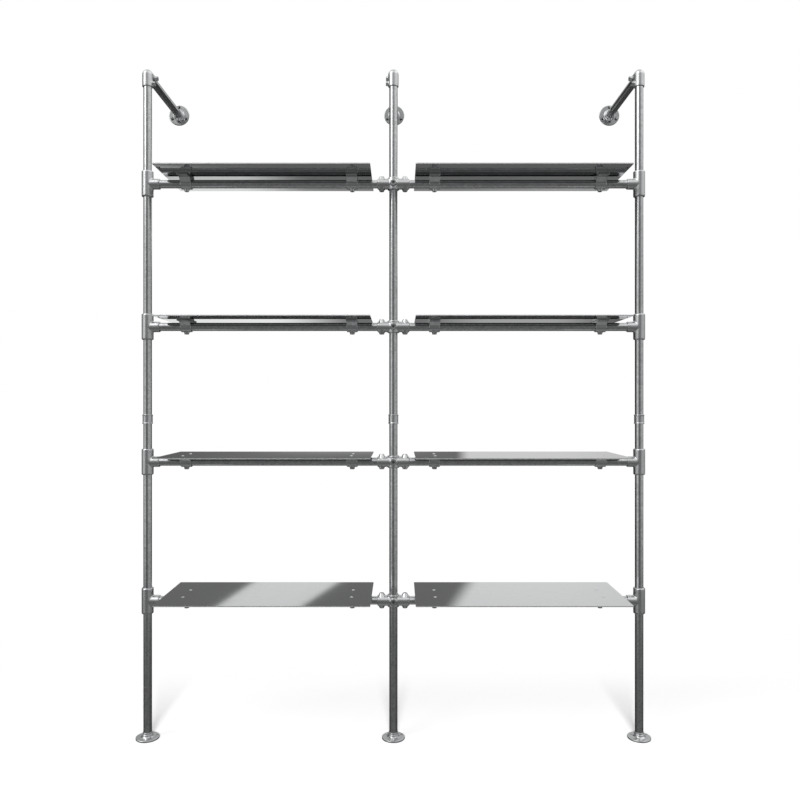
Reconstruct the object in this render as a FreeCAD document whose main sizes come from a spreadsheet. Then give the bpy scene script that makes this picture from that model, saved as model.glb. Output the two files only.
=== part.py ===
import FreeCAD, Part
import Sketcher
import math
import os
import re

# Two-bay wall shelving made of galvanised tube and cast clamp fittings. Three uprights stand in one
# line on round flanges. Each turns back at the top through an elbow to a flange on the wall. At four
# levels a crossbar in each bay carries a steel shelf on two cast brackets.
# Millimetres. +X runs to the right, the wall is at +Y and +Z is up. The origin is on the floor, on the
# middle upright's axis. Every piece has its own object, whose sizes are bound to the sheet below.

os.makedirs("parts", exist_ok=True)
doc = FreeCAD.newDocument("pipe_shelving")

# ---------------------------------------------------------------- driving sizes

SIZES = (
    ("bay_width", 800.0, "from one upright's axis to the next"),
    ("level_1", 448.6, "height of the first crossbar's axis"),
    ("level_2", 900.2, "height of the second crossbar's axis"),
    ("level_3", 1338.7, "height of the third crossbar's axis"),
    ("level_4", 1803.3, "height of the fourth crossbar's axis"),
    ("joiner_height", 138.3, "from the second crossbar's axis up to the middle of the joiner"),
    ("arm_height", 2159.0, "height of the wall arm's axis"),
    ("wall_distance", 350.0, "from the uprights' axes to the wall"),
    ("tube_outer", 26.9, "outside diameter of every tube"),
    ("tube_wall", 2.6, "wall of every tube"),
    ("socket_clearance", 0.3, "gap all round a tube in a fitting"),
    ("tee_wall", 5.0, "wall of the tee's long body and of the cross's short one"),
    ("socket_wall", 3.5, "wall of the side sockets and of the bracket's ring"),
    ("elbow_wall", 3.2, "wall of the elbow"),
    ("mouth_bevel", 3.0, "bevel on the side mouths of the tee and the cross"),
    ("tee_bevel", 4.0, "bevel on the ends of the tee's body"),
    ("rim_bevel", 1.5, "bevel on the other rims of the fittings"),
    ("branch_blend", 3.5, "radius where a side socket grows out of a body"),
    ("tube_stop", 17.5, "from an upright's axis to the end of a crossbar"),
    ("tee_height", 85.0, "length of the tee's body"),
    ("tee_reach", 41.0, "from the upright's axis to the tee's side mouth"),
    ("tee_screw", 29.5, "from the upright's axis to the tee's side screw"),
    ("cross_height", 40.0, "length of the cross's body"),
    ("cross_reach", 52.0, "from the upright's axis to the cross's mouths"),
    ("cross_screw", 37.8, "from the upright's axis to the cross's side screws"),
    ("elbow_reach", 40.0, "from the elbow's corner to its mouths"),
    ("elbow_stop", 16.5, "from the elbow's corner to the tube's end"),
    ("elbow_screw", 28.5, "from the elbow's corner to its screws"),
    ("boss_rise", 11.0, "from a tube's surface to the face of a screw boss"),
    ("boss_face", 14.0, "diameter of a screw boss at its face"),
    ("boss_start", 11.0, "from a tube's axis to the wide end of a screw boss"),
    ("boss_root", 27.0, "diameter of a wide screw boss at its wide end"),
    ("slim_root", 20.5, "diameter of a slim screw boss at its wide end"),
    ("front_face", 18.5, "diameter of the cross's front boss at its face"),
    ("front_root", 24.0, "diameter of the cross's front boss at its wide end"),
    ("elbow_face", 14.5, "diameter of the elbow's bosses at their faces"),
    ("elbow_root", 16.5, "diameter of the elbow's bosses at their wide ends"),
    ("screw_size", 9.5, "diameter of a set screw"),
    ("screw_clearance", 0.05, "gap round a set screw in its hole"),
    ("screw_sink", 1.2, "how far a set screw's head is below its boss"),
    ("key_size", 5.0, "across the flats of the set screw's key socket"),
    ("key_depth", 4.0, "depth of the set screw's key socket"),
    ("flange_size", 75.0, "diameter of a flange's plate"),
    ("flange_plate", 6.5, "thickness of a flange's plate"),
    ("flange_height", 22.0, "height of a flange with its hub and lip"),
    ("flange_flare", 3.5, "width of the slope between plate and hub"),
    ("flange_round", 2.5, "radius of the edge of a flange's plate"),
    ("hub_wall", 3.25, "wall of a flange's hub"),
    ("lip_wall", 1.5, "wall of the thin lip at the mouth of a flange's hub"),
    ("lip_height", 6.0, "height of that lip above the hub"),
    ("hub_screw", 12.0, "from a flange's back to its set screw"),
    ("seat_height", 4.0, "from a flange's back to the tube's end"),
    ("seat_bore", 20.0, "diameter of the hole behind the tube's end"),
    ("fixing_circle", 56.5, "diameter of the circle of fixing holes"),
    ("fixing_hole", 7.0, "diameter of a fixing hole"),
    ("joiner_length", 30.0, "length of the joiner sleeve"),
    ("joiner_wall", 2.2, "wall of the joiner sleeve"),
    ("bead_width", 3.4, "width of the bead at each end of the joiner"),
    ("bead_rise", 1.0, "how far the bead stands out from the joiner"),
    ("stop_ring", 2.0, "thickness of the ring between the two tubes"),
    ("shelf_depth", 300.0, "shelf, front edge to back edge"),
    ("shelf_sheet", 3.0, "thickness of a shelf"),
    ("shelf_corner", 3.0, "radius of a shelf's corners"),
    ("shelf_gap_outer", 63.4, "from an outer upright's axis to the shelf"),
    ("shelf_gap_inner", 69.7, "from the middle upright's axis to the shelf"),
    ("bracket_inset", 64.0, "from a shelf's end to the middle of a bracket"),
    ("bracket_width", 35.0, "length of a bracket along the crossbar"),
    ("bracket_span", 112.0, "length of a bracket's plate, front to back"),
    ("bracket_plate", 4.5, "thickness of a bracket's plate"),
    ("bracket_cover", 1.25, "metal between the bracket's bore and its plate"),
    ("bracket_web", 60.0, "width of the webs under a bracket's plate"),
    ("bracket_drop", 6.0, "how far the webs reach down the ring"),
    ("bracket_corner", 5.0, "radius of the corners of a bracket's plate"),
    ("bolt_spacing", 89.0, "between the two shelf screws of a bracket"),
    ("bolt_size", 6.0, "diameter of a shelf screw"),
    ("bolt_clearance", 0.3, "gap round a shelf screw in the shelf"),
    ("bolt_head", 11.0, "diameter of a shelf screw's head"),
    ("bolt_head_height", 2.2, "height of a shelf screw's head"),
)

sheet = doc.addObject("Spreadsheet::Sheet", "Sizes")
for row, (alias, number, meaning) in enumerate(SIZES, start=1):
    sheet.set("A" + str(row), meaning)
    sheet.set("B" + str(row), str(number))
    sheet.setAlias("B" + str(row), alias)
doc.recompute()

SIZE_NAMES = {alias for alias, number, meaning in SIZES}
WORD = re.compile(r"[a-z][a-z_0-9]*")

# Formulas that several pieces share.
TUBE_RADIUS = "tube_outer / 2"
BORE_RADIUS = "(tube_outer / 2 + socket_clearance)"
BODY_RADIUS = "(" + BORE_RADIUS + " + tee_wall)"
SOCKET_RADIUS = "(" + BORE_RADIUS + " + socket_wall)"
ELBOW_RADIUS = "(" + BORE_RADIUS + " + elbow_wall)"
BOSS_TIP = "(tube_outer / 2 + boss_rise)"
SHELF_UNDERSIDE = "(" + BORE_RADIUS + " + bracket_cover + bracket_plate)"
SHELF_LENGTH = "(bay_width - shelf_gap_outer - shelf_gap_inner)"

LEVELS = ("level_1", "level_2", "level_3", "level_4")
JOINER_MIDDLE = "(level_2 + joiner_height)"

# Turns that lay a piece's own +Z along another direction.
UPRIGHT = FreeCAD.Rotation()
TO_RIGHT = FreeCAD.Rotation(FreeCAD.Vector(0, 1, 0), 90)
TO_LEFT = FreeCAD.Rotation(FreeCAD.Vector(0, 1, 0), -90)
TO_WALL = FreeCAD.Rotation(FreeCAD.Vector(1, 0, 0), -90)
TO_FRONT = FreeCAD.Rotation(FreeCAD.Vector(1, 0, 0), 90)
UPSIDE_DOWN = FreeCAD.Rotation(FreeCAD.Vector(1, 0, 0), 180)

exported = []


def in_sheet(formula):
    """The formula with every size's name read from the sheet."""
    def cell(found):
        word = found.group(0)
        return "Sizes." + word if word in SIZE_NAMES else word
    return WORD.sub(cell, str(formula))


def bind(item, field, formula):
    item.setExpression(field, in_sheet(formula))


def place(item, spot, turn=UPRIGHT):
    """Puts an object's own origin at a spot given by three formulas."""
    item.Placement = FreeCAD.Placement(FreeCAD.Vector(), turn)
    for letter, formula in zip("xyz", spot):
        bind(item, "Placement.Base." + letter, formula)


# ---------------------------------------------------------------- ways of making a casting


def new_body(label):
    body = doc.addObject("PartDesign::Body", label)
    body.Label = label
    return body


def origin_plane(body, role):
    for feature in body.Origin.OriginFeatures:
        if feature.Role == role:
            return feature


def sketch_on(body, role, name):
    sketch = body.newObject("Sketcher::SketchObject", body.Name + "_" + name)
    sketch.AttachmentSupport = (origin_plane(body, role), [""])
    sketch.MapMode = "FlatFace"
    return sketch


def raise_sketch(sketch, formula):
    bind(sketch, "AttachmentOffset.Base.z", formula)


def draw_circle(sketch, radius, across="0", along="0"):
    """Circle with its radius and its middle's distances from the sketch's origin."""
    middle = FreeCAD.Vector(1, 1, 0)
    circle = sketch.addGeometry(Part.Circle(middle, FreeCAD.Vector(0, 0, 1), 5))
    tie(sketch, "Radius", (circle,), radius, 5)
    tie_point(sketch, circle, 3, across, along)


def tie(sketch, kind, target, formula, start):
    index = sketch.addConstraint(Sketcher.Constraint(kind, *target, start))
    name = "size_" + str(index)
    sketch.renameConstraint(index, name)
    bind(sketch, "Constraints." + name, formula)


def tie_point(sketch, geometry, point, across, along):
    """Ties a point to the origin; a distance of 0 puts it on the axis itself."""
    if across == "0":
        sketch.addConstraint(Sketcher.Constraint("PointOnObject", geometry, point, -2))
    else:
        tie(sketch, "DistanceX", (geometry, point), across, 1)
    if along == "0":
        sketch.addConstraint(Sketcher.Constraint("PointOnObject", geometry, point, -1))
    else:
        tie(sketch, "DistanceY", (geometry, point), along, 1)


def draw_outline(sketch, corners):
    """Closed straight-sided outline whose corners are pairs of formulas."""
    count = len(corners)
    rough = []
    for index in range(count):
        angle = 2 * math.pi * index / count
        rough.append(FreeCAD.Vector(30 + 10 * math.cos(angle), 10 * math.sin(angle), 0))
    for index in range(count):
        sketch.addGeometry(Part.LineSegment(rough[index], rough[(index + 1) % count]))
    for index in range(count):
        following = (index + 1) % count
        sketch.addConstraint(Sketcher.Constraint("Coincident", index, 2, following, 1))
    for index, (across, along) in enumerate(corners):
        tie_point(sketch, index, 1, across, along)


def pad(body, sketch, length, midplane=False):
    feature = body.newObject("PartDesign::Pad", sketch.Name + "_pad")
    feature.Profile = sketch
    feature.Midplane = midplane
    bind(feature, "Length", length)
    sketch.Visibility = False
    return feature


def pocket(body, sketch, length, reverse=False):
    feature = body.newObject("PartDesign::Pocket", sketch.Name + "_pocket")
    feature.Profile = sketch
    feature.Reversed = reverse
    bind(feature, "Length", length)
    return feature


def turn_profile(body, corners):
    """Ring turned from a half section drawn as (radius, height) corners."""
    sketch = sketch_on(body, "XZ_Plane", "section")
    draw_outline(sketch, corners)
    feature = body.newObject("PartDesign::Revolution", body.Name + "_turned")
    feature.Profile = sketch
    feature.ReferenceAxis = (sketch, ["V_Axis"])
    feature.Angle = 360
    return feature


def add_cylinder(body, radius, length, spot=("0", "0", "0"), turn=UPRIGHT):
    feature = body.newObject("PartDesign::AdditiveCylinder", body.Name + "_cylinder")
    bind(feature, "Radius", radius)
    bind(feature, "Height", length)
    place(feature, spot, turn)
    return feature


def cut_cylinder(body, radius, length, spot=("0", "0", "0"), turn=UPRIGHT):
    feature = body.newObject("PartDesign::SubtractiveCylinder", body.Name + "_bore")
    bind(feature, "Radius", radius)
    bind(feature, "Height", length)
    place(feature, spot, turn)
    return feature


def add_boss(body, root, face, spot, turn):
    """Tapered screw boss on a socket; the spot is on the tube's axis and the turn points outwards."""
    feature = body.newObject("PartDesign::AdditiveCone", body.Name + "_boss")
    bind(feature, "Radius1", root + " / 2")
    bind(feature, "Radius2", face + " / 2")
    bind(feature, "Height", BOSS_TIP + " - boss_start")
    outwards = turn.multVec(FreeCAD.Vector(0, 0, 1))
    wide_end = []
    for formula, lean in zip(spot, outwards):
        wide_end.append(formula + " + boss_start * " + str(round(lean)))
    place(feature, wide_end, turn)
    return feature


def cut_screw_hole(body, spot, turn):
    return cut_cylinder(body, "screw_size / 2 + screw_clearance", BOSS_TIP + " + 1", spot, turn)


def finish_edges(body, kind, field, amount, wanted):
    """Chamfers or fillets the edges for which wanted(edge) is true."""
    doc.recompute()
    base = body.Tip
    names = []
    for number, edge in enumerate(base.Shape.Edges, start=1):
        if wanted(edge):
            names.append("Edge" + str(number))
    if not names:
        raise RuntimeError(body.Label + " has no such edge")
    feature = body.newObject("PartDesign::" + kind, body.Name + "_" + kind)
    feature.Base = (base, names)
    bind(feature, field, amount)
    return feature


def bevel(body, amount, wanted):
    return finish_edges(body, "Chamfer", "Size", amount, wanted)


def round_off(body, amount, wanted):
    return finish_edges(body, "Fillet", "Radius", amount, wanted)


def is_corner(edge):
    """True for a plate's own corner, which is a straight upright edge."""
    if not isinstance(edge.Curve, Part.Line):
        return False
    return abs(edge.Curve.Direction.z) > 0.99 and edge.Length > 1


def is_rim(edge):
    """True for the whole circle at the end of a cylinder."""
    if edge.Degenerated or not isinstance(edge.Curve, Part.Circle):
        return False
    return edge.isClosed() and edge.Curve.Center.Length > 1


def is_body_rim(edge):
    return is_rim(edge) and abs(edge.Curve.Axis.z) > 0.5


def is_mouth(edge):
    return is_rim(edge) and abs(edge.Curve.Axis.z) < 0.5


def is_plate_rim(edge):
    return is_rim(edge) and edge.Curve.Radius > sheet.flange_size / 2 - 0.1


def is_branch(edge):
    """True for the curved line in which two cylinders meet."""
    return not isinstance(edge.Curve, (Part.Circle, Part.Line))


def copy_of(pattern, label, spot, turn=UPRIGHT):
    """Another piece of the same pattern, at its own place."""
    body = doc.addObject("PartDesign::Body", label)
    body.Label = label
    feature = doc.addObject("PartDesign::FeatureBase", label + "_pattern")
    feature.BaseFeature = pattern
    body.Group = [feature]
    body.Tip = feature
    place(body, spot, turn)
    return body


def piece(pattern, label, spot, turn=UPRIGHT):
    """A copy that is a sub-part in its own right."""
    exported.append((copy_of(pattern, label, spot, turn), 1))


def group(label, copies):
    """Loose like pieces that share one sub-part."""
    compound = doc.addObject("Part::Compound", label)
    compound.Label = label
    compound.Links = copies
    exported.append((compound, len(copies)))


# ---------------------------------------------------------------- tubes
# Plain galvanised tube, cut square. A tube ends on a seat or a stop inside each fitting.

JOINER_SEAT = "stop_ring / 2"


def make_tube(label, length):
    body = new_body(label)
    sketch = sketch_on(body, "XY_Plane", "section")
    draw_circle(sketch, TUBE_RADIUS)
    draw_circle(sketch, TUBE_RADIUS + " - tube_wall")
    pad(body, sketch, length)
    return body


lower_tube = make_tube("pattern_lower_tube", JOINER_MIDDLE + " - " + JOINER_SEAT + " - seat_height")
upper_tube = make_tube(
    "pattern_upper_tube", "arm_height - elbow_stop - " + JOINER_MIDDLE + " - " + JOINER_SEAT
)
arm_tube = make_tube("pattern_arm_tube", "wall_distance - elbow_stop - seat_height")
crossbar_tube = make_tube("pattern_crossbar_tube", "bay_width - 2 * tube_stop")

# ---------------------------------------------------------------- flange
# Cast disc with a low hub that ends in a thin lip. The tube stands on a ledge inside the hub. One set
# screw holds it and three holes at 120 degrees take the fixings.

flange = new_body("pattern_flange")
HUB_RADIUS = "(" + BORE_RADIUS + " + hub_wall)"
LIP_RADIUS = "(" + BORE_RADIUS + " + lip_wall)"
turn_profile(
    flange,
    (
        ("seat_bore / 2", "0"),
        ("flange_size / 2", "0"),
        ("flange_size / 2", "flange_plate"),
        (HUB_RADIUS + " + flange_flare", "flange_plate"),
        (HUB_RADIUS, "flange_plate + flange_flare"),
        (HUB_RADIUS, "flange_height - lip_height"),
        (LIP_RADIUS, "flange_height - lip_height"),
        (LIP_RADIUS, "flange_height"),
        (BORE_RADIUS, "flange_height"),
        (BORE_RADIUS, "seat_height"),
        ("seat_bore / 2", "seat_height"),
    ),
)
round_off(flange, "flange_round", is_plate_rim)
add_boss(flange, "slim_root", "boss_face", ("0", "0", "hub_screw"), TO_WALL)
cut_cylinder(flange, BORE_RADIUS, "flange_height", ("0", "0", "seat_height"))
cut_screw_hole(flange, ("0", "0", "hub_screw"), TO_WALL)
fixing_sketch = sketch_on(flange, "XY_Plane", "fixing")
draw_circle(fixing_sketch, "fixing_hole / 2", "0", "-fixing_circle / 2")
fixing = pocket(flange, fixing_sketch, "flange_plate * 2", reverse=True)
doc.recompute()
fixings = flange.newObject("PartDesign::PolarPattern", "flange_fixings")
fixings.Originals = [fixing]
fixings.Axis = (fixing_sketch, ["N_Axis"])
fixings.Angle = 360
fixings.Occurrences = 3
flange.Tip = fixings

# ---------------------------------------------------------------- joiner
# Banded sleeve, screwed on both tubes. A ring inside keeps the two ends apart.

joiner = new_body("pattern_joiner")
SLEEVE_BORE = "(" + TUBE_RADIUS + " + screw_clearance)"
SLEEVE_RADIUS = "(" + SLEEVE_BORE + " + joiner_wall)"
HALF_JOINER = "joiner_length / 2"
turn_profile(
    joiner,
    (
        (SLEEVE_BORE, "-" + HALF_JOINER),
        (SLEEVE_RADIUS + " + bead_rise", "-" + HALF_JOINER),
        (SLEEVE_RADIUS + " + bead_rise", "bead_width - " + HALF_JOINER),
        (SLEEVE_RADIUS, "bead_width + bead_rise - " + HALF_JOINER),
        (SLEEVE_RADIUS, HALF_JOINER + " - bead_width - bead_rise"),
        (SLEEVE_RADIUS + " + bead_rise", HALF_JOINER + " - bead_width"),
        (SLEEVE_RADIUS + " + bead_rise", HALF_JOINER),
        (SLEEVE_BORE, HALF_JOINER),
        (SLEEVE_BORE, JOINER_SEAT),
        (TUBE_RADIUS + " - tube_wall", JOINER_SEAT),
        (TUBE_RADIUS + " - tube_wall", "-" + JOINER_SEAT),
        (SLEEVE_BORE, "-" + JOINER_SEAT),
    ),
)

# ---------------------------------------------------------------- tee
# Long body that the upright runs through, with one side socket for a crossbar. The set screws are at
# the back: one for the upright, one for the crossbar.

tee = new_body("pattern_tee")
HALF_TEE = "tee_height / 2"
add_cylinder(tee, BODY_RADIUS, "tee_height", ("0", "0", "-" + HALF_TEE))
add_cylinder(tee, SOCKET_RADIUS, "tee_reach", turn=TO_RIGHT)
round_off(tee, "branch_blend", is_branch)
bevel(tee, "tee_bevel", is_body_rim)
bevel(tee, "mouth_bevel", is_mouth)
add_boss(tee, "boss_root", "boss_face", ("0", "0", "0"), TO_WALL)
add_boss(tee, "slim_root", "boss_face", ("tee_screw", "0", "0"), TO_WALL)
cut_cylinder(tee, BORE_RADIUS, "tee_height", ("0", "0", "-" + HALF_TEE))
cut_cylinder(tee, BORE_RADIUS, "tee_reach", ("tube_stop", "0", "0"), TO_RIGHT)
cut_screw_hole(tee, ("0", "0", "0"), TO_WALL)
cut_screw_hole(tee, ("tee_screw", "0", "0"), TO_WALL)

# ---------------------------------------------------------------- cross
# Short body on the middle upright with a long socket on each side. One screw at the front holds the
# upright. Each socket has two screws, one above and one below.

cross = new_body("pattern_cross")
HALF_CROSS = "cross_height / 2"
add_cylinder(cross, BODY_RADIUS, "cross_height", ("0", "0", "-" + HALF_CROSS))
add_cylinder(cross, SOCKET_RADIUS, "2 * cross_reach", ("-cross_reach", "0", "0"), TO_RIGHT)
bevel(cross, "rim_bevel", is_body_rim)
bevel(cross, "mouth_bevel", is_mouth)
add_boss(cross, "front_root", "front_face", ("0", "0", "0"), TO_FRONT)
CROSS_SCREWS = (
    ("cross_screw", UPRIGHT),
    ("cross_screw", UPSIDE_DOWN),
    ("-cross_screw", UPRIGHT),
    ("-cross_screw", UPSIDE_DOWN),
)
for side, turn in CROSS_SCREWS:
    add_boss(cross, "boss_root", "boss_face", (side, "0", "0"), turn)
cut_cylinder(cross, BORE_RADIUS, "cross_height", ("0", "0", "-" + HALF_CROSS))
cut_cylinder(cross, BORE_RADIUS, "cross_reach", ("tube_stop", "0", "0"), TO_RIGHT)
cut_cylinder(cross, BORE_RADIUS, "cross_reach", ("-tube_stop", "0", "0"), TO_LEFT)
cut_screw_hole(cross, ("0", "0", "0"), TO_FRONT)
for side, turn in CROSS_SCREWS:
    cut_screw_hole(cross, (side, "0", "0"), turn)

# ---------------------------------------------------------------- elbow
# Two sockets at a right angle round a ball corner, one down and one to the wall. Both set screws are
# on one side. Turned over, the same casting has them on the other side.

elbow = new_body("pattern_elbow")
ball = elbow.newObject("PartDesign::AdditiveSphere", "elbow_ball")
bind(ball, "Radius", ELBOW_RADIUS)
ELBOW_SOCKETS = (
    (UPSIDE_DOWN, ("0", "0", "-elbow_screw"), ("0", "0", "-elbow_stop")),
    (TO_WALL, ("0", "elbow_screw", "0"), ("0", "elbow_stop", "0")),
)
for socket_turn, screw_spot, stop_spot in ELBOW_SOCKETS:
    add_cylinder(elbow, ELBOW_RADIUS, "elbow_reach", turn=socket_turn)
bevel(elbow, "rim_bevel", is_rim)
for socket_turn, screw_spot, stop_spot in ELBOW_SOCKETS:
    add_boss(elbow, "elbow_root", "elbow_face", screw_spot, TO_RIGHT)
for socket_turn, screw_spot, stop_spot in ELBOW_SOCKETS:
    cut_cylinder(elbow, BORE_RADIUS, "elbow_reach", stop_spot, socket_turn)
    cut_screw_hole(elbow, screw_spot, TO_RIGHT)
ELBOW_OVER = FreeCAD.Rotation(FreeCAD.Vector(0, 1, -1), 180)

# ---------------------------------------------------------------- shelf bracket
# Ring on the crossbar that carries a flat plate, with webs between them. A set screw comes up from
# below. Two screws come down through the shelf, in front of the tube and behind it.

bracket = new_body("pattern_bracket")
HALF_WIDTH = "bracket_width / 2"
HALF_SPAN = "bracket_span / 2"
PLATE_UNDERSIDE = "(" + BORE_RADIUS + " + bracket_cover)"
add_cylinder(bracket, SOCKET_RADIUS, "bracket_width", ("-" + HALF_WIDTH, "0", "0"), TO_RIGHT)
plate_sketch = sketch_on(bracket, "YZ_Plane", "plate")
draw_outline(
    plate_sketch,
    (
        ("-" + HALF_SPAN, SHELF_UNDERSIDE),
        ("-" + HALF_SPAN, PLATE_UNDERSIDE),
        ("-bracket_web / 2", PLATE_UNDERSIDE),
        ("-" + SOCKET_RADIUS, "bracket_drop / 2"),
        (SOCKET_RADIUS, "bracket_drop / 2"),
        ("bracket_web / 2", PLATE_UNDERSIDE),
        (HALF_SPAN, PLATE_UNDERSIDE),
        (HALF_SPAN, SHELF_UNDERSIDE),
    ),
)
pad(bracket, plate_sketch, "bracket_width", midplane=True)
round_off(bracket, "bracket_corner", is_corner)
add_boss(bracket, "slim_root", "boss_face", ("0", "0", "0"), UPSIDE_DOWN)
cut_cylinder(bracket, BORE_RADIUS, "bracket_width", ("-" + HALF_WIDTH, "0", "0"), TO_RIGHT)
cut_screw_hole(bracket, ("0", "0", "0"), UPSIDE_DOWN)
for side in ("-bolt_spacing / 2", "bolt_spacing / 2"):
    cut_cylinder(bracket, "bolt_size / 2", "bracket_plate + 2", ("0", side, PLATE_UNDERSIDE + " - 1"))

# ---------------------------------------------------------------- shelf
# Flat steel sheet, drilled for the four shelf screws. Its own origin is on the crossbar's axis, at the
# end that is nearest to the middle upright.

shelf = new_body("pattern_shelf")
sheet_sketch = sketch_on(shelf, "XY_Plane", "sheet")
raise_sketch(sheet_sketch, SHELF_UNDERSIDE)
draw_outline(
    sheet_sketch,
    (
        ("0", "-shelf_depth / 2"),
        (SHELF_LENGTH, "-shelf_depth / 2"),
        (SHELF_LENGTH, "shelf_depth / 2"),
        ("0", "shelf_depth / 2"),
    ),
)
pad(shelf, sheet_sketch, "shelf_sheet")
for across in ("bracket_inset", SHELF_LENGTH + " - bracket_inset"):
    for along in ("-bolt_spacing / 2", "bolt_spacing / 2"):
        spot = (across, along, SHELF_UNDERSIDE + " - 1")
        cut_cylinder(shelf, "bolt_size / 2 + bolt_clearance", "shelf_sheet + 2", spot)
round_off(shelf, "shelf_corner", is_corner)

# ---------------------------------------------------------------- set screw and shelf screw
# The set screw's tip is at its origin. The shelf screw's origin is under its head.

set_screw = new_body("pattern_set_screw")
SCREW_LENGTH = "(boss_rise - screw_sink)"
screw_sketch = sketch_on(set_screw, "XY_Plane", "thread")
draw_circle(screw_sketch, "screw_size / 2")
pad(set_screw, screw_sketch, SCREW_LENGTH)
key = set_screw.newObject("PartDesign::SubtractivePrism", "set_screw_key")
key.Polygon = 6
bind(key, "Circumradius", "key_size / sqrt(3)")
bind(key, "Height", "key_depth + 1")
place(key, ("0", "0", SCREW_LENGTH + " - key_depth"))

shelf_screw = new_body("pattern_shelf_screw")
shank_sketch = sketch_on(shelf_screw, "XY_Plane", "shank")
draw_circle(shank_sketch, "bolt_size / 2")
shank = pad(shelf_screw, shank_sketch, "shelf_sheet + bracket_plate")
shank.Reversed = True
add_cylinder(shelf_screw, "bolt_head / 2", "bolt_head_height")

# ---------------------------------------------------------------- assembly: three frames

FRAMES = (("left", "-bay_width"), ("middle", "0"), ("right", "bay_width"))
flange_screws = []
elbow_screws = []
for side, across in FRAMES:
    piece(flange, "base_flange_" + side, (across, "0", "0"))
    piece(lower_tube, "upright_lower_" + side, (across, "0", "seat_height"))
    piece(joiner, "joiner_" + side, (across, "0", JOINER_MIDDLE))
    piece(upper_tube, "upright_upper_" + side, (across, "0", JOINER_MIDDLE + " + " + JOINER_SEAT))
    over = UPRIGHT if side == "left" else ELBOW_OVER
    piece(elbow, "elbow_" + side, (across, "0", "arm_height"), over)
    piece(arm_tube, "wall_arm_" + side, (across, "elbow_stop", "arm_height"), TO_WALL)
    on_wall = TO_FRONT.multiply(FreeCAD.Rotation(FreeCAD.Vector(0, 0, 1), 180))
    piece(flange, "wall_flange_" + side, (across, "wall_distance", "arm_height"), on_wall)

    spot = (across, TUBE_RADIUS, "hub_screw")
    flange_screws.append(copy_of(set_screw, "floor_screw_" + side, spot, TO_WALL))
    spot = (across, "wall_distance - hub_screw", "arm_height - " + TUBE_RADIUS)
    flange_screws.append(copy_of(set_screw, "wall_screw_" + side, spot, UPSIDE_DOWN))
    side_turn = TO_RIGHT if side == "left" else TO_LEFT
    sign = " + " if side == "left" else " - "
    spot = (across + sign + TUBE_RADIUS, "0", "arm_height - elbow_screw")
    elbow_screws.append(copy_of(set_screw, "elbow_low_screw_" + side, spot, side_turn))
    spot = (across + sign + TUBE_RADIUS, "elbow_screw", "arm_height")
    elbow_screws.append(copy_of(set_screw, "elbow_arm_screw_" + side, spot, side_turn))

group("flange_set_screws", flange_screws)
group("elbow_set_screws", elbow_screws)

# ---------------------------------------------------------------- assembly: four levels

BAYS = (("left", "-", TO_LEFT, "-bay_width"), ("right", "", TO_RIGHT, "bay_width"))
FACING = {"left": UPRIGHT, "right": FreeCAD.Rotation(FreeCAD.Vector(0, 1, 0), 180)}
tee_screws = []
cross_screws = []
bracket_screws = []
shelf_screws = []
for number, level in enumerate(LEVELS, start=1):
    name = "_" + str(number)
    piece(cross, "cross" + name, ("0", "0", level))
    spot = ("0", "-" + TUBE_RADIUS, level)
    cross_screws.append(copy_of(set_screw, "cross_front_screw" + name, spot, TO_FRONT))
    for count, (across, turn) in enumerate(CROSS_SCREWS, start=1):
        sign = " + " if turn is UPRIGHT else " - "
        spot = (across, "0", level + sign + TUBE_RADIUS)
        label = "cross_side_screw" + name + "_" + str(count)
        cross_screws.append(copy_of(set_screw, label, spot, turn))

    brackets = []
    for bay, minus, outward, tee_spot in BAYS:
        label = "_" + bay + name
        piece(tee, "tee" + label, (tee_spot, "0", level), FACING[bay])
        piece(crossbar_tube, "crossbar" + label, (minus + "tube_stop", "0", level), outward)
        tee_screws.append(copy_of(set_screw, "tee_screw" + label, (tee_spot, TUBE_RADIUS, level), TO_WALL))
        across = minus + "(bay_width - tee_screw)"
        spot = (across, TUBE_RADIUS, level)
        tee_screws.append(copy_of(set_screw, "tee_side_screw" + label, spot, TO_WALL))

        start = "-(bay_width - shelf_gap_outer)" if bay == "left" else "shelf_gap_inner"
        piece(shelf, "shelf" + label, (start, "0", level))
        for end in ("bracket_inset", SHELF_LENGTH + " - bracket_inset"):
            across = start + " + " + end
            label = "_".join((bay, str(number), str(len(brackets) + 1)))
            brackets.append(copy_of(bracket, "bracket_" + label, (across, "0", level)))
            spot = (across, "0", level + " - " + TUBE_RADIUS)
            bracket_screws.append(copy_of(set_screw, "bracket_screw_" + label, spot, UPSIDE_DOWN))
            for count, along in enumerate(("-bolt_spacing / 2", "bolt_spacing / 2"), start=1):
                spot = (across, along, level + " + " + SHELF_UNDERSIDE + " + shelf_sheet")
                shelf_screws.append(copy_of(shelf_screw, "bolt_" + label + "_" + str(count), spot))
    group("shelf_brackets" + name, brackets)

group("tee_set_screws", tee_screws)
group("cross_set_screws", cross_screws)
group("bracket_set_screws", bracket_screws)
group("shelf_bolts", shelf_screws)

# ---------------------------------------------------------------- checks and files

doc.recompute()
for item in doc.Objects:
    if "Invalid" in item.State or "Error" in item.State:
        raise RuntimeError(item.Name + " failed: " + str(item.State))
CUTS = ("PartDesign::SubtractiveCylinder", "PartDesign::SubtractivePrism", "PartDesign::Pocket")
for item in doc.Objects:
    if item.TypeId in CUTS and item.Shape.Volume > item.BaseFeature.Shape.Volume - 1:
        raise RuntimeError(item.Name + " cuts nothing")
for item, solids in exported:
    shape = item.Shape
    if shape.isNull() or not shape.isValid() or len(shape.Solids) != solids:
        raise RuntimeError(item.Label + " is not " + str(solids) + " sound solids")
    shape.exportStep("parts/" + item.Label + ".step")
print(len(exported), "sub-parts written")
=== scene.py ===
import bpy
import math
from mathutils import Matrix, Vector


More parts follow.
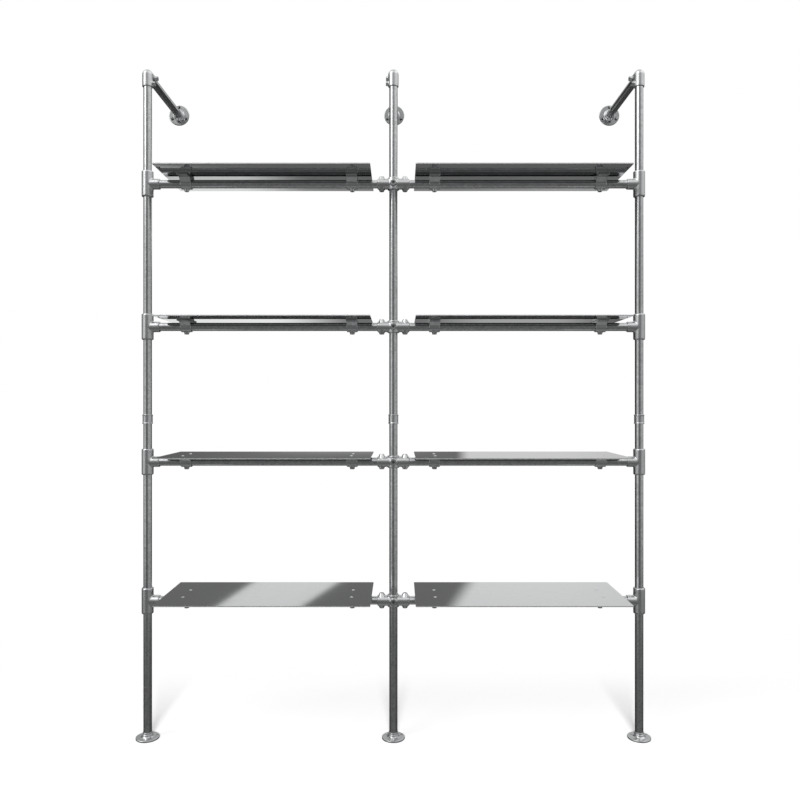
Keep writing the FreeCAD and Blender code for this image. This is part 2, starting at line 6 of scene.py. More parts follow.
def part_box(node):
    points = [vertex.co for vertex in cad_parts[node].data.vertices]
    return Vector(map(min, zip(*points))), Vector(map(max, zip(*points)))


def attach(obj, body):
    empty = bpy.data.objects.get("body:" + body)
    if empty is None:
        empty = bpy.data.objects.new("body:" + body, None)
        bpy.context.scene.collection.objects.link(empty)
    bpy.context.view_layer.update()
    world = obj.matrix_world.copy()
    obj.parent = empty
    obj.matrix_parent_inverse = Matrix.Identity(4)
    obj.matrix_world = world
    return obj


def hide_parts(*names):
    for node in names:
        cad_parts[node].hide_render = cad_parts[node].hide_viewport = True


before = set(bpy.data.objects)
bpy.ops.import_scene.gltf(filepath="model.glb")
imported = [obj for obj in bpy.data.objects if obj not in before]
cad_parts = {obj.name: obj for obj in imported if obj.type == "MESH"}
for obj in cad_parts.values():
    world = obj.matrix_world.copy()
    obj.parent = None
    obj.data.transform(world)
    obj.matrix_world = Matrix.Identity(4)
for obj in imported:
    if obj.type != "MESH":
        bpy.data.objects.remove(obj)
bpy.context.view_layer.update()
bpy.ops.object.select_all(action="DESELECT")

# ---------------------------------------------------------------- zinc on the castings
# Every fitting is a malleable casting that was dipped in molten zinc. The zinc lies a little unevenly,
# with soft crystals a few millimetres across, and dulls to a satin grey.


def zinc(name, dark, light, crystal, smooth, rough, relief=0.0):
    """Metal coated with zinc; crystal is the size of its mottling and relief the depth of its bumps."""
    cool_tint = (0.985, 1.0, 1.01)
    noise_low, noise_high = 0.3, 0.7
    cloud_scale = 0.7
    cell_share = 0.3

    finish = bpy.data.materials.new(name)
    finish.use_nodes = True
    nodes, links = finish.node_tree.nodes, finish.node_tree.links
    shader = nodes["Principled BSDF"]
    shader.inputs["Metallic"].default_value = 1.0
    place = nodes.new("ShaderNodeTexCoord")

    cells = nodes.new("ShaderNodeTexVoronoi")
    cells.inputs["Scale"].default_value = 1.0 / crystal
    links.new(place.outputs["Object"], cells.inputs["Vector"])
    cell_tone = nodes.new("ShaderNodeSeparateColor")
    links.new(cells.outputs["Color"], cell_tone.inputs["Color"])

    clouds = nodes.new("ShaderNodeTexNoise")
    clouds.inputs["Scale"].default_value = cloud_scale / crystal
    clouds.inputs["Detail"].default_value = 2.0
    clouds.inputs["Roughness"].default_value = 0.5
    links.new(place.outputs["Object"], clouds.inputs["Vector"])

    blend = nodes.new("ShaderNodeMix")
    blend.inputs["Factor"].default_value = cell_share
    links.new(clouds.outputs["Fac"], blend.inputs[2])
    links.new(cell_tone.outputs["Red"], blend.inputs[3])

    tone = nodes.new("ShaderNodeMapRange")
    tone.inputs["From Min"].default_value = noise_low
    tone.inputs["From Max"].default_value = noise_high
    links.new(blend.outputs["Result"], tone.inputs["Value"])
    colour = nodes.new("ShaderNodeMix")
    colour.data_type = "RGBA"
    colour.inputs[6].default_value = [dark * share for share in cool_tint] + [1.0]
    colour.inputs[7].default_value = [light * share for share in cool_tint] + [1.0]
    links.new(tone.outputs["Result"], colour.inputs["Factor"])
    links.new(colour.outputs[2], shader.inputs["Base Color"])

    polish = nodes.new("ShaderNodeMapRange")
    polish.inputs["From Min"].default_value = noise_low
    polish.inputs["From Max"].default_value = noise_high
    polish.inputs["To Min"].default_value = rough
    polish.inputs["To Max"].default_value = smooth
    links.new(clouds.outputs["Fac"], polish.inputs["Value"])
    links.new(polish.outputs["Result"], shader.inputs["Roughness"])

    if relief:
        bumps = nodes.new("ShaderNodeBump")
        bumps.inputs["Strength"].default_value = 1.0
        bumps.inputs["Distance"].default_value = relief
        links.new(blend.outputs["Result"], bumps.inputs["Height"])
        links.new(bumps.outputs["Normal"], shader.inputs["Normal"])
    return finish


casting_zinc = zinc("casting_zinc", dark=0.53, light=0.59, crystal=0.006, smooth=0.27, rough=0.33)

# ---------------------------------------------------------------- flanges
# Floor and wall flanges are one casting: a round plate with a low hub that ends in a thin lip, one
# screw boss on the hub and three fixing holes. The tube stands in the hub on a ledge.


def extent(node, axis):
    """Size of a frame node along one axis."""
    low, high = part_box(node)
    return getattr(high, axis) - getattr(low, axis)


def middle(node, axis):
    """Middle of a frame node along one axis."""
    low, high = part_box(node)
    return (getattr(low, axis) + getattr(high, axis)) / 2


tube_radius = extent("upright_lower_middle", "x") / 2
bore_radius = tube_radius + 0.0003
boss_start = 0.011
boss_tip = tube_radius + 0.011
boss_spare = 0.0035
boss_root = 0.01025
boss_face = 0.0070
screw_hole = 0.0048
casting_grain = 0.001
smooth_below = math.radians(35)
up, down = Vector((0, 0, 1)), Vector((0, 0, -1))
right, left = Vector((1, 0, 0)), Vector((-1, 0, 0))
to_wall, to_front = Vector((0, 1, 0)), Vector((0, -1, 0))
centre = Vector((0, 0, 0))


def lump(wide, length, start, along, tip=None, rim=0.0):
    """Round bar or cone that starts at a point; rim rounds both of its ends."""
    same_height = 1e-6
    bpy.ops.object.select_all(action="DESELECT")
    bpy.ops.mesh.primitive_cone_add(
        vertices=64,
        radius1=wide,
        radius2=wide if tip is None else tip,
        depth=length,
        location=start + along * length / 2,
        rotation=along.to_track_quat("Z", "Y").to_euler(),
    )
    bar = bpy.context.object
    bpy.ops.object.transform_apply(location=True, rotation=True, scale=True)
    if rim:
        bpy.ops.object.mode_set(mode="EDIT")
        bpy.ops.mesh.select_all(action="DESELECT")
        bpy.ops.object.mode_set(mode="OBJECT")
        for edge in bar.data.edges:
            one, other = (bar.data.vertices[corner].co - start for corner in edge.vertices)
            edge.select = abs(one.dot(along) - other.dot(along)) < same_height
        bpy.ops.object.mode_set(mode="EDIT")
        bpy.ops.mesh.select_mode(type="EDGE")
        bpy.ops.mesh.bevel(offset=rim, segments=2, profile=0.5, affect="EDGES")
        bpy.ops.object.mode_set(mode="OBJECT")
    return bar


def fuse(name, lumps, grain, passes):
    """Runs overlapping lumps together into one casting whose corners are rounded."""
    bpy.ops.object.select_all(action="DESELECT")
    for item in lumps:
        item.select_set(True)
    bpy.context.view_layer.objects.active = lumps[0]
    bpy.ops.object.join()
    casting = bpy.context.object
    casting.name = name
    skin = casting.modifiers.new("skin", "REMESH")
    skin.mode = "VOXEL"
    skin.voxel_size = grain
    bpy.ops.object.modifier_apply(modifier=skin.name)
    soften = casting.modifiers.new("soften", "SMOOTH")
    soften.factor = 0.5
    soften.iterations = passes
    bpy.ops.object.modifier_apply(modifier=soften.name)
    return casting


def machine(casting, cutters):
    """Bores and holes, cut clean after the casting is rounded."""
    for cutter in cutters:
        bpy.ops.object.select_all(action="DESELECT")
        casting.select_set(True)
        bpy.context.view_layer.objects.active = casting
        cut = casting.modifiers.new("cut", "BOOLEAN")
        cut.operation = "DIFFERENCE"
        cut.solver = "EXACT"
        cut.object = cutter
        bpy.ops.object.modifier_apply(modifier=cut.name)
        bpy.data.objects.remove(cutter)
    bpy.ops.object.shade_smooth_by_angle(angle=smooth_below)


def boss(root, face, along, spot=centre):
    """Tapered boss for a set screw, a little long, so that its face can be cut flat."""
    slope = (root - face) / (boss_tip - boss_start)
    start = spot + along * boss_start
    length = boss_tip + boss_spare - boss_start
    return lump(root, length, start, along, tip=face - slope * boss_spare)


def spot_face(along, spot=centre):
    """Cutter that leaves a boss with a flat face at its right height."""
    cutter_radius, cutter_length = 0.015, 0.01
    return lump(cutter_radius, cutter_length, spot + along * boss_tip, along)


def fit_copy(pattern, node, placing, finish=casting_zinc):
    """A copy of the pattern with its own mesh, in the place of a frame node."""
    copy = bpy.data.objects.new(node + "_cast", pattern.data.copy())
    bpy.context.scene.collection.objects.link(copy)
    copy.data.transform(placing)
    if placing.is_negative:
        copy.data.flip_normals()
    copy.data.materials.clear()
    copy.data.materials.append(finish)
    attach(copy, "root")
    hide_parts(node)
    return copy


flange_radius = extent("base_flange_left", "x") / 2
flange_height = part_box("base_flange_left")[1].z
flange_screw = 0.012
flange_cut = 0.04
plate_thick = 0.0065
hub_radius = bore_radius + 0.00325
hub_start = 0.0015
hub_foot = 0.006
hub_spread = 0.0040
lip_radius = bore_radius + 0.0015
lip_height = 0.006
ledge_height = 0.004
ledge_radius = 0.010
fixing_circle = 0.0565 / 2
fixing_hole = 0.0035
sunk_radius = 0.0067
sunk_depth = 0.0028
sunk_cut = 0.0032
fixing_spots = [
    Vector((fixing_circle * math.cos(turn), fixing_circle * math.sin(turn), 0))
    for turn in (math.radians(-90), math.radians(30), math.radians(150))
]
boss_spot = up * flange_screw + to_wall * boss_start

flange_cast = fuse(
    "flange_pattern",
    [
        lump(flange_radius, plate_thick, centre, up, rim=0.0016),
        lump(hub_radius + hub_spread, hub_spread, up * hub_foot, up, tip=hub_radius),
        lump(hub_radius, flange_height - lip_height - hub_start, up * hub_start, up),
        lump(lip_radius, flange_height - hub_start, up * hub_start, up),
        lump(boss_root, boss_tip - boss_start, boss_spot, to_wall, tip=boss_face),
    ],
    grain=casting_grain * 0.6,
    passes=9,
)
machine(
    flange_cast,
    [
        lump(bore_radius, flange_cut, up * ledge_height, up),
        lump(ledge_radius, flange_cut, down * flange_cut / 2, up),
        lump(screw_hole, flange_cut, up * flange_screw, to_wall),
    ]
    + [lump(fixing_hole, flange_cut, spot + down * flange_cut / 2, up) for spot in fixing_spots]
    + [
        lump(fixing_hole, sunk_cut, spot + up * (plate_thick - sunk_depth), up, tip=sunk_radius)
        for spot in fixing_spots
    ],
)
sides = ("left", "middle", "right")
for side in sides:
    axis_x = middle(f"upright_lower_{side}", "x")
    arm_z = middle(f"wall_arm_{side}", "z")
    wall_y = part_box(f"wall_flange_{side}")[1].y
    on_floor = Matrix.Translation((axis_x, 0, 0))
    fit_copy(flange_cast, f"base_flange_{side}", on_floor)
    on_wall = (
        Matrix.Translation((axis_x, wall_y, arm_z))
        @ Matrix.Rotation(math.radians(90), 4, "X")
        @ Matrix.Rotation(math.radians(180), 4, "Z")
    )
    fit_copy(flange_cast, f"wall_flange_{side}", on_wall)
bpy.data.objects.remove(flange_cast)

# ---------------------------------------------------------------- tubes
# Welded steel tube, dipped in zinc after rolling and cut square. The zinc on it is smoother than on the
# castings, and its uneven tone and faint bumps break up whatever the tube reflects.

tube_zinc = zinc(
    "tube_zinc", dark=0.44, light=0.60, crystal=0.006, smooth=0.14, rough=0.22, relief=0.00003
)
tube_wall = 0.0026


def tube(node):
    """Tube in the place of a frame node, along the node's longest side."""
    low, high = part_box(node)
    size = high - low
    along = max((right, to_wall, up), key=lambda way: abs(size.dot(way)))
    bpy.ops.object.select_all(action="DESELECT")
    bpy.ops.mesh.primitive_cylinder_add(
        vertices=72,
        radius=tube_radius,
        depth=size.dot(along),
        end_fill_type="NOTHING",
        location=(low + high) / 2,
        rotation=along.to_track_quat("Z", "Y").to_euler(),
    )
    bpy.ops.object.transform_apply(location=True, rotation=True, scale=True)
    pipe = bpy.context.object
    pipe.name = node + "_tube"
    wall = pipe.modifiers.new("wall", "SOLIDIFY")
    wall.thickness = tube_wall
    wall.offset = -1.0
    bpy.ops.object.modifier_apply(modifier=wall.name)
    cut_edge = pipe.modifiers.new("cut_edge", "BEVEL")
    cut_edge.width = 0.0003
    cut_edge.limit_method = "ANGLE"
    cut_edge.angle_limit = math.radians(50)
    bpy.ops.object.modifier_apply(modifier=cut_edge.name)
    bpy.ops.object.shade_smooth_by_angle(angle=smooth_below)
    pipe.data.materials.append(tube_zinc)
    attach(pipe, "root")
    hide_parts(node)


bays = ("left", "right")
levels = range(1, 5)
for side in sides:
    for kind in ("upright_lower", "upright_upper", "wall_arm"):
        tube(f"{kind}_{side}")
for bay in bays:
    for level in levels:
        tube(f"crossbar_{bay}_{level}")

# ---------------------------------------------------------------- joiners
# Short sleeve with a bead rolled at each end, screwed over the ends of the two tubes of an upright.

joiner_length = extent("joiner_middle", "z")
joiner_bore = tube_radius + 0.00005
joiner_cut = 0.05
bead_radius = extent("joiner_middle", "x") / 2
bead_length = 0.0034
bead_round = 0.0008
sleeve_radius = bead_radius - 0.001
joiner_cast = fuse(
    "joiner_pattern",
    [
        lump(sleeve_radius, joiner_length, down * joiner_length / 2, up),
        lump(bead_radius, bead_length, down * joiner_length / 2, up, rim=bead_round),
        lump(bead_radius, bead_length, up * (joiner_length / 2 - bead_length), up, rim=bead_round),
    ],
    grain=casting_grain * 0.7,
    passes=3,
)
machine(joiner_cast, [lump(joiner_bore, joiner_cut, down * joiner_cut / 2, up)])
for side in sides:
    low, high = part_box(f"joiner_{side}")
    placing = Matrix.Translation((low + high) / 2)
    fit_copy(joiner_cast, f"joiner_{side}", placing)
bpy.data.objects.remove(joiner_cast)

# ---------------------------------------------------------------- tees
# Long cast body round an outer upright with one side socket for the crossbar. Its two set screws are
# at the back, in tapered bosses.

body_radius = bore_radius + 0.005
body_cut = 0.12
socket_radius = bore_radius + 0.0035
socket_round = 0.0022
socket_cut = 0.06
screw_cut = 0.05
tube_stop = 0.0175
wide_boss_root = 0.0135
tee_height = extent("tee_left_1", "z")
tee_reach = extent("tee_left_1", "x") - body_radius
tee_screw = 0.0295
tee_cast = fuse(
    "tee_pattern",
    [
        lump(body_radius, tee_height, down * tee_height / 2, up, rim=0.0032),
        lump(socket_radius, tee_reach, centre, right, rim=socket_round),
        boss(wide_boss_root, boss_face, to_wall),
        boss(boss_root, boss_face, to_wall, right * tee_screw),
    ],
    grain=casting_grain,
    passes=14,
)
machine(
    tee_cast,
    [
        lump(bore_radius, body_cut, down * body_cut / 2, up),
        lump(bore_radius, socket_cut, right * tube_stop, right),
        spot_face(to_wall),
        spot_face(to_wall, right * tee_screw),
        lump(screw_hole, screw_cut, centre, to_wall),
        lump(screw_hole, screw_cut, right * tee_screw, to_wall),
    ],
)
for bay, turn in (("left", 0), ("right", 180)):
    for level in levels:
        spot = (middle(f"upright_lower_{bay}", "x"), 0, middle(f"crossbar_{bay}_{level}", "z"))
        placing = Matrix.Translation(spot) @ Matrix.Rotation(math.radians(turn), 4, "Y")
        fit_copy(tee_cast, f"tee_{bay}_{level}", placing)
bpy.data.objects.remove(tee_cast)

# ---------------------------------------------------------------- crosses
# Short cast body round the middle upright with a long socket on each side. A wide boss at the front
# holds the upright, and each socket has a boss above and a boss below.

cross_reach = extent("cross_1", "x") / 2
cross_height = 0.040
cross_screw = 0.0378
front_root = 0.012
front_face = 0.00925
side_screws = [(way * cross_screw, turn) for way in (left, right) for turn in (up, down)]
cross_cast = fuse(
    "cross_pattern",
    [
        lump(body_radius, cross_height, down * cross_height / 2, up, rim=0.0012),
        lump(socket_radius, cross_reach * 2, left * cross_reach, right, rim=socket_round),
        boss(front_root, front_face, to_front),
    ]
    + [boss(wide_boss_root, boss_face, turn, spot) for spot, turn in side_screws],
    grain=casting_grain,
    passes=10,
)
machine(
    cross_cast,
    [
        lump(bore_radius, body_cut, down * body_cut / 2, up),
        lump(bore_radius, socket_cut, right * tube_stop, right),
        lump(bore_radius, socket_cut, left * tube_stop, left),
        spot_face(to_front),
        lump(screw_hole, screw_cut, centre, to_front),
    ]
    + [spot_face(turn, spot) for spot, turn in side_screws]
    + [lump(screw_hole, screw_cut, spot, turn) for spot, turn in side_screws],
)
for level in levels:
    placing = Matrix.Translation((0, 0, middle(f"crossbar_left_{level}", "z")))
    fit_copy(cross_cast, f"cross_{level}", placing)
bpy.data.objects.remove(cross_cast)

# ---------------------------------------------------------------- elbows
# Cast corner with a ball-shaped back, from the upright to the wall arm. Both set screws are on one
# side, and the same casting is turned over to have them on the other.

elbow_radius = bore_radius + 0.0032
elbow_reach = 0.040
elbow_round = 0.0012
elbow_stop = 0.0165
elbow_screw = 0.0285
elbow_root = 0.00825
elbow_face = 0.00725
bpy.ops.mesh.primitive_uv_sphere_add(segments=64, ring_count=32, radius=elbow_radius)
elbow_ball = bpy.context.object
elbow_cast = fuse(
    "elbow_pattern",
    [
        elbow_ball,
        lump(elbow_radius, elbow_reach, centre, down, rim=elbow_round),
        lump(elbow_radius, elbow_reach, centre, to_wall, rim=elbow_round),
        boss(elbow_root, elbow_face, right, down * elbow_screw),
        boss(elbow_root, elbow_face, right, to_wall * elbow_screw),
    ],
    grain=casting_grain * 0.8,
    passes=8,
)
machine(
    elbow_cast,
    [
        lump(bore_radius, socket_cut, down * elbow_stop, down),
        lump(bore_radius, socket_cut, to_wall * elbow_stop, to_wall),
        spot_face(right, down * elbow_screw),
        spot_face(right, to_wall * elbow_screw),
        lump(screw_hole, screw_cut, down * elbow_screw, right),
        lump(screw_hole, screw_cut, to_wall * elbow_screw, right),
    ],
)
for side in sides:
    corner = (middle(f"upright_lower_{side}", "x"), 0, middle(f"wall_arm_{side}", "z"))
    placing = Matrix.Translation(corner)
    if side != "left":
        placing = placing @ Matrix.Rotation(math.radians(180), 4, Vector((0, 1, -1)))
    fit_copy(elbow_cast, f"elbow_{side}", placing)
bpy.data.objects.remove(elbow_cast)

# ---------------------------------------------------------------- shelf brackets
# Cast ring on the crossbar with a flat plate on top that the shelf is screwed to. Webs run from the
# plate down the ring, and a set screw comes up from below.

bracket_width = 0.035
bracket_span = extent("shelf_brackets_1", "y")
bracket_plate = 0.0045
bracket_inset = 0.064
plate_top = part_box("shelf_left_1")[0].z - middle("crossbar_left_1", "z")
web_foot = 0.003
web_width = 0.060


def block(size, place, rim):
    """Flat bar with rounded edges."""
    bpy.ops.object.select_all(action="DESELECT")
    bpy.ops.mesh.primitive_cube_add(size=1.0, location=place, scale=size)
    bpy.ops.object.transform_apply(location=True, rotation=True, scale=True)
    bpy.ops.object.mode_set(mode="EDIT")
    bpy.ops.mesh.select_all(action="SELECT")
    bpy.ops.mesh.bevel(offset=rim, segments=3, profile=0.5, affect="EDGES")
    bpy.ops.object.mode_set(mode="OBJECT")
    return bpy.context.object


def web():
    """Wedge from the ring's sides out to the underside of the plate."""
    web_head = plate_top - bracket_plate / 2
    half_way = (web_foot + web_head) / 2
    bpy.ops.object.select_all(action="DESELECT")
    bpy.ops.mesh.primitive_cube_add(
        size=1.0,
        location=(0, 0, half_way),
        scale=(bracket_width, socket_radius * 2, web_head - web_foot),
    )
    bpy.ops.object.transform_apply(location=True, rotation=True, scale=True)
    wedge = bpy.context.object
    for corner in wedge.data.vertices:
        if corner.co.z > half_way:
            corner.co.y = math.copysign(web_width / 2, corner.co.y)
    return wedge


def over_brackets(shelf):
    """Where the two brackets of a shelf stand along its crossbar."""
    low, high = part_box(shelf)
    return (low.x + bracket_inset, high.x - bracket_inset)


plate_size = (bracket_width, bracket_span, bracket_plate)
bracket_cast = fuse(
    "bracket_pattern",
    [
        block(plate_size, (0, 0, plate_top - bracket_plate / 2), rim=0.0008),
        lump(socket_radius, bracket_width, left * bracket_width / 2, right, rim=0.0010),
        web(),
        boss(boss_root, boss_face, down),
    ],
    grain=casting_grain * 0.9,
    passes=5,
)
machine(
    bracket_cast,
    [
        lump(bore_radius, socket_cut, left * socket_cut / 2, right),
        spot_face(down),
        lump(screw_hole, screw_cut, centre, down),
    ],
)
bracket_axes = [across for bay in bays for across in over_brackets(f"shelf_{bay}_1")]
for level in levels:
    for number, across in enumerate(bracket_axes, start=1):
        placing = Matrix.Translation((across, 0, middle(f"crossbar_left_{level}", "z")))
        copy = fit_copy(bracket_cast, f"shelf_brackets_{level}", placing)
        copy.name = f"shelf_bracket_{level}_{number}"
bpy.data.objects.remove(bracket_cast)

# ---------------------------------------------------------------- shelves
# Flat galvanised steel sheet, much smoother than the tube, with corners just rounded. The sheared
# edges are rough under the zinc. Each shelf is held by four screws.

sheet_zinc = zinc("sheet_zinc", dark=0.465, light=0.485, crystal=0.012, smooth=0.035, rough=0.045)
edge_zinc = zinc("sheared_edge_zinc", dark=0.70, light=0.72, crystal=0.006, smooth=0.45, rough=0.60)
for bay in bays:
    for level in levels:
        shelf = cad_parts[f"shelf_{bay}_{level}"]
        shelf.data.materials.clear()
        shelf.data.materials.append(sheet_zinc)
        shelf.data.materials.append(edge_zinc)
        for face in shelf.data.polygons:
            face.material_index = int(abs(face.normal.z) < 0.5)

# ---------------------------------------------------------------- screws
# Set screws are hardened steel with a hexagonal key socket and sit just inside their bosses. Shelf
# screws have low round heads with the same kind of socket.

screw_steel = zinc(
    "screw_steel", dark=0.16, light=0.24, crystal=0.002, smooth=0.30, rough=0.45, relief=0.00003
)
for kind in ("flange", "elbow", "tee", "cross", "bracket"):
    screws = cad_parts[f"{kind}_set_screws"]
    screws.data.materials.clear()
    screws.data.materials.append(screw_steel)

head_zinc = zinc("screw_head_zinc", dark=0.56, light=0.64, crystal=0.004, smooth=0.16, rough=0.24)
head_radius = 0.0055
head_height = 0.0017
head_spacing = 0.089
dome_radius = (head_radius ** 2 + head_height ** 2) / (2 * head_height)
dome_centre = head_height - dome_radius
key_radius = 0.0022
key_length = 0.003
key_middle = 0.0024
bpy.ops.object.select_all(action="DESELECT")
bpy.ops.mesh.primitive_uv_sphere_add(
    segments=48, ring_count=96, radius=dome_radius, location=(0, 0, dome_centre)
)
head = bpy.context.object
bpy.ops.object.transform_apply(location=True, rotation=True, scale=True)
kept_cap = lump(head_radius, 0.01, centre, up)
trim = head.modifiers.new("trim", "BOOLEAN")
trim.operation = "INTERSECT"
trim.solver = "EXACT"
trim.object = kept_cap
bpy.context.view_layer.objects.active = head
bpy.ops.object.modifier_apply(modifier=trim.name)
bpy.data.objects.remove(kept_cap)
bpy.ops.object.select_all(action="DESELECT")
bpy.ops.mesh.primitive_cylinder_add(
    vertices=6, radius=key_radius, depth=key_length, location=(0, 0, key_middle)
)
key = bpy.context.object
bpy.ops.object.transform_apply(location=True, rotation=True, scale=True)
machine(head, [key])
for bay in bays:
    for level in levels:
        shelf = f"shelf_{bay}_{level}"
        shelf_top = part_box(shelf)[1].z
        rows = (-head_spacing / 2, head_spacing / 2)
        spots = [(x, y, shelf_top) for x in over_brackets(shelf) for y in rows]
        for number, spot in enumerate(spots, start=1):
            placing = Matrix.Translation(spot)
            copy = fit_copy(head, "shelf_bolts", placing, head_zinc)
            copy.name = f"shelf_screw_{bay}_{level}_{number}"
bpy.data.objects.remove(head)

# ---------------------------------------------------------------- studio
# Plain white floor that keeps the soft shadows of the feet, a white background, one wide soft lamp in
# front, and the light and dark areas of a studio round about for the zinc to reflect.

scene = bpy.context.scene
scene.view_settings.view_transform = "Standard"

floor_tone = 0.75
floor_glow = 0.385
white_from, white_to = 0.25, 0.62
rim_from, rim_to = 1.5, 3.0
bpy.ops.object.select_all(action="DESELECT")
bpy.ops.mesh.primitive_plane_add(size=60.0, location=(0, 0, 0))
floor = bpy.context.object
floor.name = "studio_floor"
floor.visible_glossy = False
white = bpy.data.materials.new("floor_white")
white.use_nodes = True
floor.data.materials.append(white)
nodes, links = white.node_tree.nodes, white.node_tree.links
nodes.clear()


def number_node(operation, *values):
    """Math node of the material or world in hand, with sockets or plain numbers as inputs."""
    node = nodes.new("ShaderNodeMath")
    node.operation = operation
    for socket, value in zip(node.inputs, values):
        if isinstance(value, (int, float)):
            socket.default_value = value
        else:
            links.new(value, socket)
    return node.outputs["Value"]


def soft_step(value, low, high):
    """0 at low, 1 at high, and a smooth change between them; low may be the greater one."""
    node = nodes.new("ShaderNodeMapRange")
    node.interpolation_type = "SMOOTHSTEP"
    links.new(value, node.inputs["Value"])
    node.inputs["From Min"].default_value = low
    node.inputs["From Max"].default_value = high
    return node.outputs["Result"]


# The camera sees a floor that glows a little, and plain white behind the unit and far out.
ray = nodes.new("ShaderNodeLightPath")
paint = nodes.new("ShaderNodeBsdfDiffuse")
paint.inputs["Color"].default_value = (floor_tone, floor_tone, floor_tone, 1.0)
glow = nodes.new("ShaderNodeEmission")
links.new(number_node("MULTIPLY", ray.outputs["Is Camera Ray"], floor_glow), glow.inputs["Strength"])
both = nodes.new("ShaderNodeAddShader")
links.new(paint.outputs["BSDF"], both.inputs[0])
links.new(glow.outputs["Emission"], both.inputs[1])
far_white = nodes.new("ShaderNodeEmission")
place = nodes.new("ShaderNodeTexCoord")
away = nodes.new("ShaderNodeSeparateXYZ")
links.new(place.outputs["Object"], away.inputs["Vector"])
reach = nodes.new("ShaderNodeVectorMath")
reach.operation = "LENGTH"
links.new(place.outputs["Object"], reach.inputs[0])
behind = soft_step(away.outputs["Y"], white_from, white_to)
far_out = soft_step(reach.outputs["Value"], rim_from, rim_to)
beyond = number_node("MAXIMUM", behind, far_out)
mixed = nodes.new("ShaderNodeMixShader")
links.new(number_node("MULTIPLY", beyond, ray.outputs["Is Camera Ray"]), mixed.inputs["Fac"])
links.new(both.outputs["Shader"], mixed.inputs[1])
links.new(far_white.outputs["Emission"], mixed.inputs[2])
output = nodes.new("ShaderNodeOutputMaterial")
links.new(mixed.outputs["Shader"], output.inputs["Surface"])

# The wall and the floor behind the fixing holes are in deep shadow: a small dark disc stands for them
# just inside the back of each flange, where it shows through the holes only.
shade = bpy.data.materials.new("hole_shade")
shade.use_nodes = True
shade.node_tree.nodes["Principled BSDF"].inputs["Base Color"].default_value = (0.02, 0.02, 0.02, 1.0)
shade.node_tree.nodes["Principled BSDF"].inputs["Specular IOR Level"].default_value = 0.0
disc_radius = 0.034
disc_inset = 0.001
for side in sides:
    axis_x = middle(f"upright_lower_{side}", "x")
    at_wall = (axis_x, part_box(f"wall_flange_{side}")[1].y - disc_inset, middle(f"wall_arm_{side}", "z"))
    for spot, turn in (((axis_x, 0, disc_inset), 0), (at_wall, 90)):
        bpy.ops.object.select_all(action="DESELECT")
        bpy.ops.mesh.primitive_circle_add(
            vertices=48,
            radius=disc_radius,
            fill_type="NGON",
            location=spot,
            rotation=(math.radians(turn), 0, 0),
        )
        bpy.ops.object.transform_apply(location=True, rotation=True, scale=True)
        disc = bpy.context.object
        disc.name = f"hole_shade_{side}"
        disc.data.materials.append(shade)
        disc.visible_glossy = False

# Bright and dark areas round the studio, each by its direction: middle and half width of its azimuth
# and how soft its sides are, lowest and highest elevation and how soft these are (all in degrees), how
# bright it is, and how far its sides lean. Azimuth 0 is in front, 90 on the right and 180 at the wall.
studio_areas = {
    "overhead": (0, 400, 10, 30, 200, 12, 0.95, 0),
    "front_upper": (-8, 34, 6, 15, 60, 4, 0.15, 0),
    "front_low": (0, 60, 10, -55, -12, 6, 0.08, 0),
    "left_window": (-50, 14, 5, 7, 60, 5, 1.1, 0),
    "left_window_top": (-49, 16, 5, 16, 60, 4, 3.0, 0),
    "left_window_foot": (-50, 16, 4, -13, 7, 4, 0.72, 0),
    "left_window_side": (-24, 8, 8, 13, 60, 4, 0.20, 0),
    "left_wall": (-77, 19, 6, -13, 60, 6, 0.50, 0),
    "left_wall_top": (-77, 19, 6, 15, 60, 6, 0.10, 0),
    "right_wall": (70, 46, 5, -13, 60, 5, 0.48, 0),
    "right_wall_top": (84, 46, 6, 15, 60, 6, 0.42, 0),
    "left_dark_corner": (-131, 26, 5, -13, 48, 5, -0.20, 0),
    "left_dark_foot": (-144, 20, 5, -36, 8, 5, -0.07, 0),
    "right_dark_corner": (144, 20, 5, -13, 48, 5, -0.10, 0),
    "right_dark_foot": (144, 20, 5, -36, 8, 5, -0.07, 0),
    "back_dark_foot": (180, 30, 5, -36, -20, 1.5, -0.05, 0),
    "back_foot": (180, 21, 3, -18.5, -10, 0.8, 0.09, 0),
    "back_left_foot": (-165.5, 5, 3, -16.6, -9, 0.2, 0.80, 0),
    "back_strip": (180, 21, 3, -16.6, -14, 0.2, 0.06, 0),
    "back_sill": (180, 21, 3, -15.7, -14, 0.15, 0.40, 0),
    "back_left_sill": (-165, 8.6, 3.5, -9, -2, 3, 1.0, 0),
    "back_right_sill": (171, 5, 3, -9, -2, 3, 0.30, 0),
    "back_low_dark": (180, 22, 4, 2, 9, 2, -0.05, 0),
    "back_low_left": (-176, 5, 4, 0, 4.0, 0.35, 0.25, 0),
    "back_right_low": (168.9, 6.3, 0.6, 1, 7, 1, 0.68, 0),
    "back_left_panel": (-169.7, 3.4, 0.4, 10, 18, 0.7, 0.95, 1.68),
    "back_right_panel": (158.1, 17.5, 0.8, 10, 18, 0.8, 0.98, 0.7),
    "back_upper": (180, 40, 6, 26, 45, 3, 0.25, 0),
    "back_upper_right": (160, 20, 6, 19, 45, 3, 0.15, 0),
    "ground": (0, 400, 10, -200, -60, 7, 0.25, 0),
}
ground_light = 0.13
air_light = 0.26
ground_edge, air_edge = -16, -4
lean_level = 15.0
matt_loss = 0.75

world = scene.world or bpy.data.worlds.new("studio")
scene.world = world
world.use_nodes = True
nodes, links = world.node_tree.nodes, world.node_tree.links
nodes.clear()

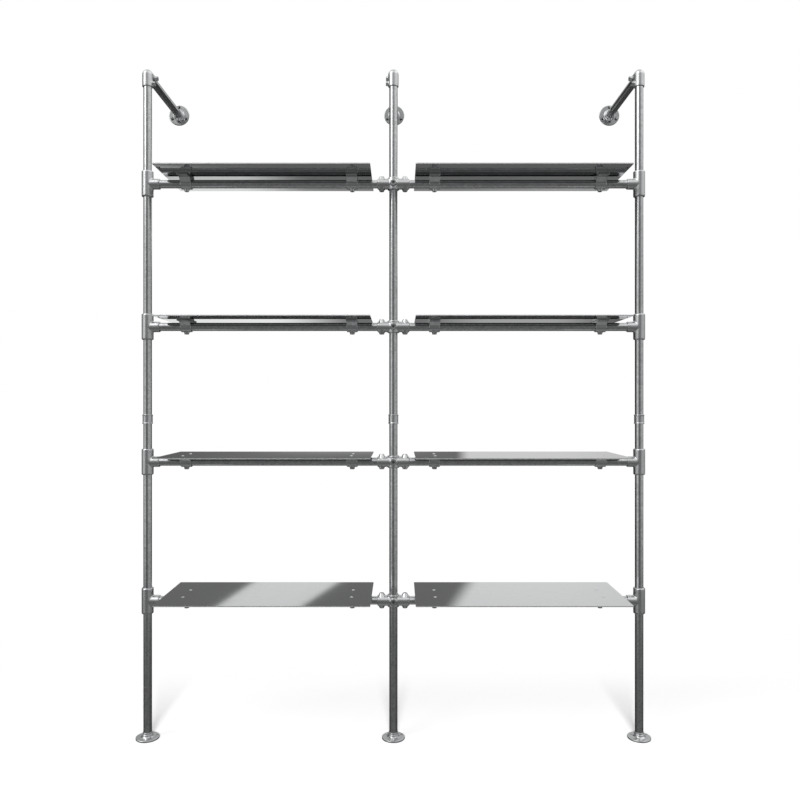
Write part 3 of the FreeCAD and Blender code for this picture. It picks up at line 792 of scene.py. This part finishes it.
degrees = 180 / math.pi
sky = nodes.new("ShaderNodeTexCoord")
split = nodes.new("ShaderNodeSeparateXYZ")
links.new(sky.outputs["Generated"], split.inputs["Vector"])
towards_front = number_node("MULTIPLY", split.outputs["Y"], -1.0)
bearing = number_node("ARCTAN2", split.outputs["X"], towards_front)
azimuth = number_node("MULTIPLY", bearing, degrees)
elevation = number_node("MULTIPLY", number_node("ARCSINE", split.outputs["Z"]), degrees)
above = number_node("SUBTRACT", elevation, lean_level)
in_air = soft_step(elevation, ground_edge, air_edge)
light = number_node("MULTIPLY", in_air, air_light - ground_light)
light = number_node("ADD", light, ground_light)
for centred, half, side_soft, low, high, soft, bright, lean in studio_areas.values():
    leaning = number_node("MULTIPLY", above, lean)
    swung = number_node("SUBTRACT", number_node("SUBTRACT", azimuth, centred), leaning)
    wrapped = number_node("WRAP", swung, 180.0, -180.0)
    aside = number_node("ABSOLUTE", wrapped)
    across = soft_step(aside, half + side_soft, half - side_soft)
    rising = soft_step(elevation, low - soft, low + soft)
    ending = soft_step(elevation, high + soft, high - soft)
    area = number_node("MULTIPLY", number_node("MULTIPLY", across, rising), ending)
    light = number_node("ADD", light, number_node("MULTIPLY", area, bright))

seen = nodes.new("ShaderNodeLightPath")
lost = number_node("MULTIPLY", seen.outputs["Is Diffuse Ray"], matt_loss)
spared = number_node("SUBTRACT", 1.0, lost)
surroundings = nodes.new("ShaderNodeBackground")
links.new(number_node("MULTIPLY", light, spared), surroundings.inputs["Strength"])
backdrop = nodes.new("ShaderNodeBackground")
backdrop.inputs["Color"].default_value = (1.0, 1.0, 1.0, 1.0)
backdrop.inputs["Strength"].default_value = 1.0
choose = nodes.new("ShaderNodeMixShader")
links.new(seen.outputs["Is Camera Ray"], choose.inputs["Fac"])
links.new(surroundings.outputs["Background"], choose.inputs[1])
links.new(backdrop.outputs["Background"], choose.inputs[2])
output = nodes.new("ShaderNodeOutputWorld")
links.new(choose.outputs["Shader"], output.inputs["Surface"])

lamp_data = bpy.data.lights.new("front_softbox", "AREA")
lamp_data.shape = "RECTANGLE"
lamp_data.size = 1.6
lamp_data.size_y = 1.6
lamp_data.energy = 590.0
lamp_aim = Vector((0, 0.2, 0.6))
lamp = bpy.data.objects.new("front_softbox", lamp_data)
lamp.location = (0.0, -6.5, 4.0)
lamp.rotation_euler = (lamp_aim - lamp.location).to_track_quat("-Z", "Y").to_euler()
lamp.visible_camera = False
lamp.visible_glossy = False
scene.collection.objects.link(lamp)

camera_data = bpy.data.cameras.new("camera")
camera_data.sensor_width = 36.0
camera_data.lens = 33.53
camera = bpy.data.objects.new("camera", camera_data)
camera.location = (0.0215, -2.426, 1.1008)
camera.rotation_euler = (math.radians(90), 0, 0)
scene.collection.objects.link(camera)
scene.camera = camera
